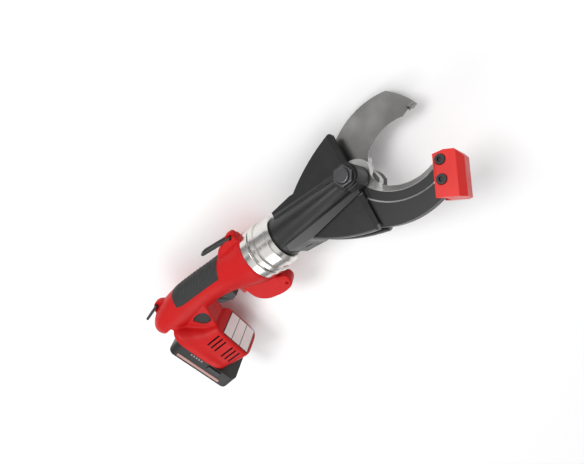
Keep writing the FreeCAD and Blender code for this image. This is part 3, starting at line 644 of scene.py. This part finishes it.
def soft_rect(place, x, y0, y1, half_z, power, count=72):
    """Superellipse across X, so that its corners are full and rounded."""
    centre, half_y = (y0 + y1) / 2, (y1 - y0) / 2
    ring = []
    for i in range(count):
        t = 2 * math.pi * i / count
        c, s = math.cos(t), math.sin(t)
        ring.append(place(x, centre + half_y * math.copysign(abs(s) ** (2 / power), s),
                          half_z * math.copysign(abs(c) ** (2 / power), c)))
    return ring


def lump_solid():
    foot = soft_rect(at_battery, -2, -79, 13, 36.3, 4.2)
    waist = soft_rect(at_battery, 8, -79.6, 12, 36.0, 4.2)
    swell = soft_rect(at, -313, -100.5, -22, 32.5, 4.0)
    belly = soft_rect(at, -298, -102.2, -33, 28.8, 4.2)
    shoulder = soft_rect(at, -283, -103, -37, 26.2, 4.6)
    front = soft_rect(at, -279.0, -100.8, -39.2, 24.2, 5.0)
    return skin([foot, waist, swell, belly, shoulder, front])


def rounded_outline(corners, radius, steps=6):
    """Corner points with each corner turned into an arc."""
    result = []
    count = len(corners)
    for k in range(count):
        before, here, after = [Vector(corners[i % count]) for i in (k - 1, k, k + 1)]
        a, b = before - here, after - here
        reach = min(radius, a.length * 0.45, b.length * 0.45)
        first, last = here + a.normalized() * reach, here + b.normalized() * reach
        for i in range(steps + 1):
            t = i / steps
            p = first * (1 - t) ** 2 + here * 2 * t * (1 - t) + last * t * t
            result.append((p.x, p.y))
    return result


def housing_form():
    lower_lug = [(-212, -12), (-209, -43), (-196, -54), (-171, -58.5), (-156, -56), (-149.5, -48),
                 (-151, -39.5), (-163, -35.6), (-168, -24)]
    upper_lug = [(-210, 22), (-198, 38), (-178, 42), (-164, 40.5), (-162.0, 33.5), (-176, 26)]
    web = [(-328, 8), (-330, -40), (-286, -48), (-279, -34), (-275, -24), (-268, -8), (-290, 5)]
    rear_ear = [(-356, 10), (-350, 26), (-340, 33.5), (-330, 32.5), (-320, 26), (-324, 16)]
    parts = [handle_solid(-162.5, -369.4), lump_solid()]
    parts.append(prism(rounded_outline(web, 10), -17, 17))
    form = joined("housing_form", parts, RED)
    for outline, half in ((lower_lug, 9.0), (upper_lug, 8.0)):
        lug = joined("lug", [prism(rounded_outline(outline, 9), -half, half)], RED)
        carve(form, lug, "UNION")
    remesh = form.modifiers.new("even", "REMESH")
    remesh.mode = "VOXEL"
    remesh.voxel_size = 1.15 * MM
    smooth = form.modifiers.new("melt", "SMOOTH")
    smooth.factor = 0.6
    smooth.iterations = 12
    applied(form)
    nose = joined("nose", [rod(at(-164.5, 0), at(-161.0, 0), NOSE_RADIUS, 96)], RED)
    carve(form, nose, "UNION")
    front_ear = [(-177, 30), (-177, 46), (-163, 46), (-163, 34)]
    for outline in (front_ear, rear_ear):
        ear = joined("ear", [prism(rounded_outline(outline, 5), -EAR_HALF, EAR_HALF)], RED)
        carve(form, ear, "UNION")
    return form


form = housing_form()
carve(form, joined("seat", [block(-60, 0.4, -140, -3.0, -60, 60, at_battery)], RED))
carve(form, joined("seat", [block(-60, 0.6, -3.2, 16, -60, 60, at_battery)], RED))
carve(form, joined("bore", [rod(at(-176, 0), at(-150, 0), SOCKET_RADIUS, 96)], RED))
carve(form, joined("rails", [block(-5, 5.2, -130, -14, -17.6, 17.6, at_battery)], RED))
carve(form, joined("motor_bay", [block(-320.5, -283.2, -95, -44, -20, 20)], RED))
for side in (-1, 1):
    slits = []
    z0, z1 = (22.5, 50) if side > 0 else (-50, -22.5)
    rear, front = SLIT_SPAN
    for first in SLIT_STARTS:
        for k in range(SLIT_COUNT):
            y = first - SLIT_PITCH * k
            outline = [(rear, y - 1.15), (front, y - 1.15), (front, y + 1.15), (rear, y + 1.15)]
            slits.append(prism(rounded_outline(outline, 1.0, 3), z0, z1))
    carve(form, joined("slits", slits, RED))
for eye_x, eye_y, radius in EYES:
    carve(form, joined("eye", [rod(at(eye_x, eye_y, -30), at(eye_x, eye_y, 30), radius)], RED))
trigger_hole = [(-262, -34), (-226, -34), (-226, -8), (-262, -8)]
button_hole = [(-219.4, -36), (-208.6, -36), (-208.6, -8), (-219.4, -8)]
trigger_slot = prism(rounded_outline(trigger_hole, 2, 3), -6.5, 6.5)
button_slot = prism(rounded_outline(button_hole, 2, 3), -5.6, 5.6)
carve(form, joined("slots", [trigger_slot, button_slot], RED))

THROAT = [(-306, -16), (-296, -11.5), (-284, -12), (-277.5, -16), (-276.5, -23), (-281, -31), (-295, -30)]
for side in (-1, 1):
    pocket = prism(rounded_outline(THROAT, 5), 14.2 if side > 0 else -45, 45 if side > 0 else -14.2)
    carve(form, joined("pocket", [pocket], RED))

housing_near = cut_half(form, "housing_near_shell", True)
housing_far = cut_half(form, "housing_far_shell", False)
bpy.data.objects.remove(form)
for obj, node in ((housing_near, "housing_near"), (housing_far, "housing_far")):
    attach(obj, "tool_body")
    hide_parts(node)


# --------------------------------------------------------- return spring
def coil(x0, x1, radius, wire, turns, steps=36, sides=14):
    """Round wire wound along X, in the head's own frame."""
    rings = []
    count = turns * steps
    for k in range(count + 1):
        t = 2 * math.pi * k / steps
        x = x0 + (x1 - x0) * k / count
        ring = []
        for i in range(sides):
            a = 2 * math.pi * i / sides
            reach = radius + wire * math.cos(a)
            ring.append(at_head(x + wire * math.sin(a), reach * math.cos(t), reach * math.sin(t)))
        rings.append(ring)
    return skin(rings)


spring = joined("return_spring_coil", [coil(-143.9, -106.6, 13.0, 1.5, 6)], BARE_STEEL)
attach(spring, "head")
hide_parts("return_spring")
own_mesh(spring)

# ---------------------------------------------------------- label gap shade
# A dark sheet just proud of the lump's front face, behind the label panels: painted shade in the gaps
# between them.
panel = rounded_outline([(-51.6, -21.6), (-97.2, -21.6), (-97.2, 21.6), (-51.6, 21.6)], 2.5)
gap_shade_sheet = joined("label_gap_shade_sheet", [skin([[at(-281.5, y, z) for y, z in panel],
                                         [at(-278.85, y, z) for y, z in panel]])], BLACK)
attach(gap_shade_sheet, "tool_body")

# ----------------------------------------------------------- throat pads
def domed_pad(side):
    """Teardrop rubber cushion with a soft rounded crown."""
    outline = rounded_outline(THROAT, 5, 8)
    middle = Vector((sum(p[0] for p in outline), sum(p[1] for p in outline))) / len(outline)
    rings = []
    for share, lift in ((1.0, 12.5), (1.0, 14.6), (0.95, 15.6), (0.84, 16.3), (0.6, 16.9), (0.3, 17.2)):
        rings.append([at(middle.x + (px - middle.x) * share * 0.985,
                         middle.y + (py - middle.y) * share * 0.985, side * lift) for px, py in outline])
    return skin(rings)


throat = joined("throat_pad_skins", [domed_pad(1), domed_pad(-1)], RUBBER)
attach(throat, "tool_body")
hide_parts("throat_pads")

# ------------------------------------------------------------------ grip
def grip_limit(x):
    """Height of the rubber's lower border along the handle."""
    table = ((-302, 15.0), (-292, 12.6), (-280, 12.0), (-216, 12.0), (-206, 30.0))
    for (xa, ya), (xb, yb) in zip(table, table[1:]):
        if x <= xb:
            return ya + (yb - ya) * (x - xa) / (xb - xa)
    return table[-1][1]


def grip_rubber():
    """Thick skin over the top of the handle with slanted moulded grooves."""
    columns, rows = 150, 84
    outer, inner = [], []
    for i in range(columns + 1):
        x = -300.0 + 95.0 * i / columns
        centre, half_y, half_z = handle_values(x)
        low = math.asin(max(-0.9, min(0.999, (grip_limit(x) - centre) / half_y)))
        for j in range(rows + 1):
            t = low + (math.pi - 2 * low) * j / rows
            arc = (t - math.pi / 2) * half_z
            phase = (x + 0.75 * abs(arc)) / 6.5
            wave = abs((phase % 1.0) - 0.5) * 2
            groove = max(0.0, 1.0 - wave / 0.36)
            across, along = min(j, rows - j) / rows, min(i, columns - i) / columns
            edge = min(1.0, 6 * across, 8 * along)
            inside = 1.0 if edge >= 1.0 else 0.0
            lift = 0.15 + 0.75 * edge ** 0.5 - 0.8 * min(1.0, groove * 1.6) * inside
            lift = min(lift, 0.75)
            outer.append(at(x, centre + (half_y + lift) * math.sin(t), (half_z + lift) * math.cos(t)))
            inner.append(at(x, centre + (half_y - 1.2) * math.sin(t), (half_z - 1.2) * math.cos(t)))
    width = rows + 1
    base = len(outer)
    faces = []
    for i in range(columns):
        for j in range(rows):
            a = i * width + j
            faces.append((a, a + 1, a + 1 + width, a + width))
            faces.append((base + a + width, base + a + 1 + width, base + a + 1, base + a))
    rim = [i * width for i in range(columns + 1)]
    rim += [columns * width + j for j in range(1, rows + 1)]
    rim += [i * width + rows for i in range(columns - 1, -1, -1)]
    rim += [j for j in range(rows - 1, 0, -1)]
    for k in range(len(rim)):
        a, b = rim[k], rim[(k + 1) % len(rim)]
        faces.append((a, b, base + b, base + a))
    return new_object("grip_rubber_skin", outer + inner, faces, RUBBER)


grip = grip_rubber()
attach(grip, "tool_body")
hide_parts("grip_cover")

# ---------------------------------------------------- floor, light, camera
FLOOR_HALF, FLOOR_DROP = 4, 0.0002
floor_corners = [(-1, -1), (1, -1), (1, 1), (-1, 1)]
floor = new_object("floor", [(x * FLOOR_HALF, y * FLOOR_HALF, -FLOOR_DROP) for x, y in floor_corners],
                   [(0, 1, 2, 3)],
                   inset_material("floor_paper", rgb(0.97, 0.97, 0.97), rgb(0.99, 0.99, 0.99)))

world = bpy.data.worlds.new("studio")
world.use_nodes = True
sky = world.node_tree
backdrop = sky.nodes["Background"]
ramp = sky.nodes.new("ShaderNodeValToRGB")
split = sky.nodes.new("ShaderNodeSeparateXYZ")
coords = sky.nodes.new("ShaderNodeTexCoord")
sky.links.new(coords.outputs["Generated"], split.inputs["Vector"])
sky.links.new(split.outputs["Z"], ramp.inputs["Fac"])
sky.links.new(ramp.outputs["Color"], backdrop.inputs["Color"])
ramp.color_ramp.elements[0].position = 0.0
ramp.color_ramp.elements[0].color = (0.22, 0.22, 0.22, 1)
ramp.color_ramp.elements[1].position = 0.78
ramp.color_ramp.elements[1].color = (1, 1, 1, 1)
for height, shade in ((0.35, 0.42), (0.54, 0.90), (0.61, 0.12), (0.70, 0.12)):
    stop = ramp.color_ramp.elements.new(height)
    stop.color = (shade, shade, shade, 1)
backdrop.inputs["Strength"].default_value = 0.94
bpy.context.scene.world = world


def panel_light(name, place, aim, size, power):
    light = bpy.data.lights.new(name, "AREA")
    light.shape = "RECTANGLE"
    light.size, light.size_y = size
    light.energy = power
    obj = bpy.data.objects.new(name, light)
    obj.location = place
    obj.rotation_euler = (Vector(aim) - Vector(place)).to_track_quat("-Z", "Y").to_euler()
    bpy.context.scene.collection.objects.link(obj)


bpy.context.scene.view_settings.view_transform = "Standard"
panel_light("key", (-0.4, 1.7, 2.5), (0, 0, 0.03), (1.5, 1.0), 42.0)
panel_light("fill", (-1.6, -1.4, 2.0), (0, 0, 0.03), (1.4, 1.4), 16.0)

camera_data = bpy.data.cameras.new("camera")
camera_data.sensor_width = 36.0
camera_data.lens = 30.82
camera_data.clip_start = 0.01
camera = bpy.data.objects.new("camera", camera_data)
right = Vector((0.70796, -0.68157, -0.18510))
up = Vector((0.51346, 0.67666, -0.52772))
back = Vector((0.48493, 0.27856, 0.82900))
turn = Matrix((right, up, back)).transposed().to_4x4()
camera.matrix_world = Matrix.Translation(at(179.37, 162.51, 487.65)) @ turn
bpy.context.scene.collection.objects.link(camera)
bpy.context.scene.camera = camera
